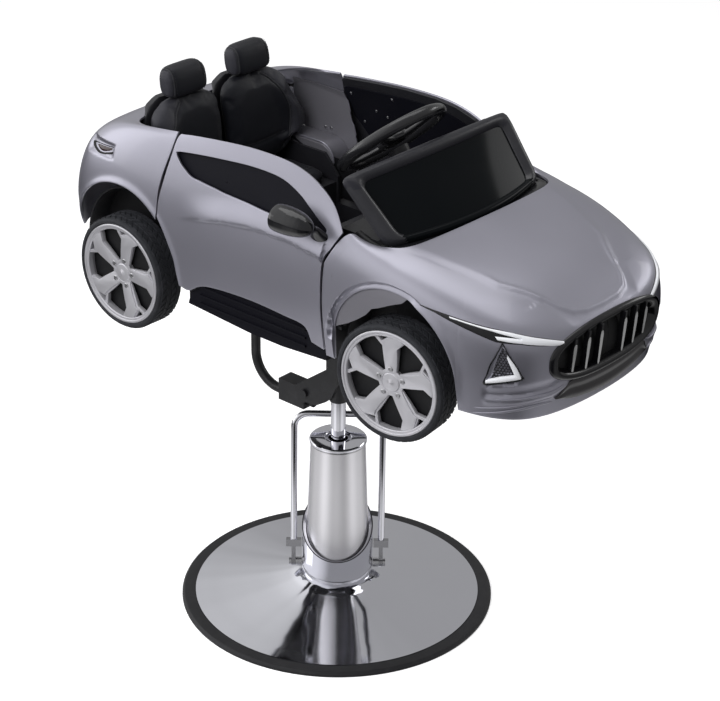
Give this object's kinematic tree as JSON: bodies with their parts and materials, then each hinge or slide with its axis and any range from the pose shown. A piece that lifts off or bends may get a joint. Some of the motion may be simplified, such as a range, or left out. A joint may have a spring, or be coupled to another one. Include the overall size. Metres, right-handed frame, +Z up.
{
  "type": "child's styling chair",
  "caption": "Child's barber chair shaped as a small open car with doors, seats and steered wheels, on a swivelling hydraulic pump base with a foot lever",
  "frame": {"origin": "on the floor under the middle of the round base, on the ram's axis", "axes": "+Z up along the ram, +X to the front of the car, +Y to the car's left"},
  "size_m": [1.1201, 0.6204, 1.0804],
  "materials": {
    "rubber_black": "black moulded rubber",
    "chrome": "polished chrome plate",
    "steel_black": "satin black powder coat",
    "plastic_black": "fine-grained black plastic",
    "gloss_black": "glossy black plastic",
    "body_silver": "metallic grey lacquer on plastic",
    "rim_silver": "silver-grey lacquer on plastic",
    "tyre_black": "black hollow tyre with a tread",
    "lens_white": "white lens",
    "lens_red": "dark red lens",
    "padding_black": "black padded cover",
    "screen_tint": "dark tinted clear plastic"
  },
  "bodies": {
    "base": {"base_ring": "rubber_black", "base_plate": "chrome", "pump_collar": "chrome", "pump_cylinder": "chrome", "gland_bush": "chrome", "pump_cover": "chrome", "cover_cap": "chrome", "lever_pivots": "chrome"},
    "pump_lever": {"lever_bar": "chrome", "lever_clamps": "chrome"},
    "piston": {"piston_head": "chrome"},
    "chair": {"piston_rod": "chrome", "rod_socket": "steel_black", "cradle_cheeks": "steel_black", "cradle_brace": "steel_black", "brace_clamp": "steel_black", "chassis_rail": "steel_black", "chassis_tub": "plastic_black", "front_shell": "body_silver", "rear_shell": "body_silver", "quarter_trims": "body_silver", "side_skirts": "plastic_black", "front_lip": "gloss_black", "grille_surround": "body_silver", "grille_slats": "plastic_black", "headlights": "lens_white", "side_vents": "plastic_black", "taillights": "lens_red", "windshield_frame": "plastic_black", "windshield_screen": "screen_tint", "dashboard": "plastic_black", "seat_shell": "plastic_black", "seat_cushion": "padding_black", "seat_backs": "padding_black", "headrests": "padding_black", "arch_liners": "plastic_black", "rear_axle": "chrome", "front_axle_beam": "steel_black", "hinge_posts": "steel_black"},
    "steering": {"steering_column": "plastic_black", "steering_wheel": "plastic_black"},
    "horn": {"horn_button": "plastic_black"},
    "right_knuckle": {"right_knuckle": "steel_black"},
    "left_knuckle": {"left_knuckle": "steel_black"},
    "right_front_wheel": {"right_front_tyre": "tyre_black", "right_front_rim": "rim_silver"},
    "left_front_wheel": {"left_front_tyre": "tyre_black", "left_front_rim": "rim_silver"},
    "right_rear_wheel": {"right_rear_tyre": "tyre_black", "right_rear_rim": "rim_silver"},
    "left_rear_wheel": {"left_rear_tyre": "tyre_black", "left_rear_rim": "rim_silver"},
    "right_door": {"right_door_shell": "body_silver", "right_door_liner": "plastic_black", "right_door_hinge": "steel_black", "right_mirror": "gloss_black"},
    "left_door": {"left_door_shell": "body_silver", "left_door_liner": "plastic_black", "left_door_hinge": "steel_black", "left_mirror": "gloss_black"}
  },
  "joints": [
    {"name": "ram_lift", "type": "slide", "parent": "base", "child": "piston", "axis": [0, 0, 1], "range_m": [0, 0.15]},
    {"name": "ram_swivel", "type": "hinge", "parent": "piston", "child": "chair", "pos_m": [0, 0, 0.09], "axis": [0, 0, 1], "continuous": true},
    {"name": "lever_pump", "type": "hinge", "parent": "base", "child": "pump_lever", "pos_m": [0, 0, 0.066], "axis": [-0.7547, -0.6561, 0], "range_deg": [0, 60], "stiffness_Nm_per_rad": 1.6, "springref_deg": -34.38},
    {"name": "steering_turn", "type": "hinge", "parent": "chair", "child": "steering", "pos_m": [0.12221, 0, 1.00251], "axis": [-0.6691, 0, 0.7431], "range_deg": [-89.2, 30.8]},
    {"name": "horn_press", "type": "slide", "parent": "steering", "child": "horn", "axis": [0.6691, 0, -0.7431], "range_m": [0, 0.003], "stiffness_N_per_m": 300, "springref_m": -0.002},
    {"name": "right_knuckle_turn", "type": "hinge", "parent": "chair", "child": "right_knuckle", "pos_m": [0.34794, -0.2258, 0.6915], "axis": [0, 0, 1], "range_deg": [-22.3, 7.7]},
    {"name": "left_knuckle_turn", "type": "hinge", "parent": "chair", "child": "left_knuckle", "pos_m": [0.34794, 0.2258, 0.6915], "axis": [0, 0, 1], "range_deg": [-22.3, 7.7]},
    {"name": "right_front_spin", "type": "hinge", "parent": "right_knuckle", "child": "right_front_wheel", "pos_m": [0.35, -0.24187, 0.6915], "axis": [-0.1271, 0.9919, 0], "continuous": true},
    {"name": "left_front_spin", "type": "hinge", "parent": "left_knuckle", "child": "left_front_wheel", "pos_m": [0.34588, 0.24187, 0.6915], "axis": [-0.1271, 0.9919, 0], "continuous": true},
    {"name": "right_rear_spin", "type": "hinge", "parent": "chair", "child": "right_rear_wheel", "pos_m": [-0.312, -0.242, 0.6915], "axis": [0, 1, 0], "continuous": true},
    {"name": "left_rear_spin", "type": "hinge", "parent": "chair", "child": "left_rear_wheel", "pos_m": [-0.312, 0.242, 0.6915], "axis": [0, 1, 0], "continuous": true},
    {"name": "right_door_swing", "type": "hinge", "parent": "chair", "child": "right_door", "pos_m": [0.22032, -0.2442, 0.8], "axis": [0, 0, 1], "range_deg": [0, 50]},
    {"name": "left_door_swing", "type": "hinge", "parent": "chair", "child": "left_door", "pos_m": [0.22032, 0.2442, 0.8], "axis": [0, 0, -1], "range_deg": [0, 50]}
  ],
  "couplings": [
    {"joint": "right_knuckle_turn", "follows": "steering_turn", "ratio": 0.25},
    {"joint": "left_knuckle_turn", "follows": "steering_turn", "ratio": 0.25}
  ]
}
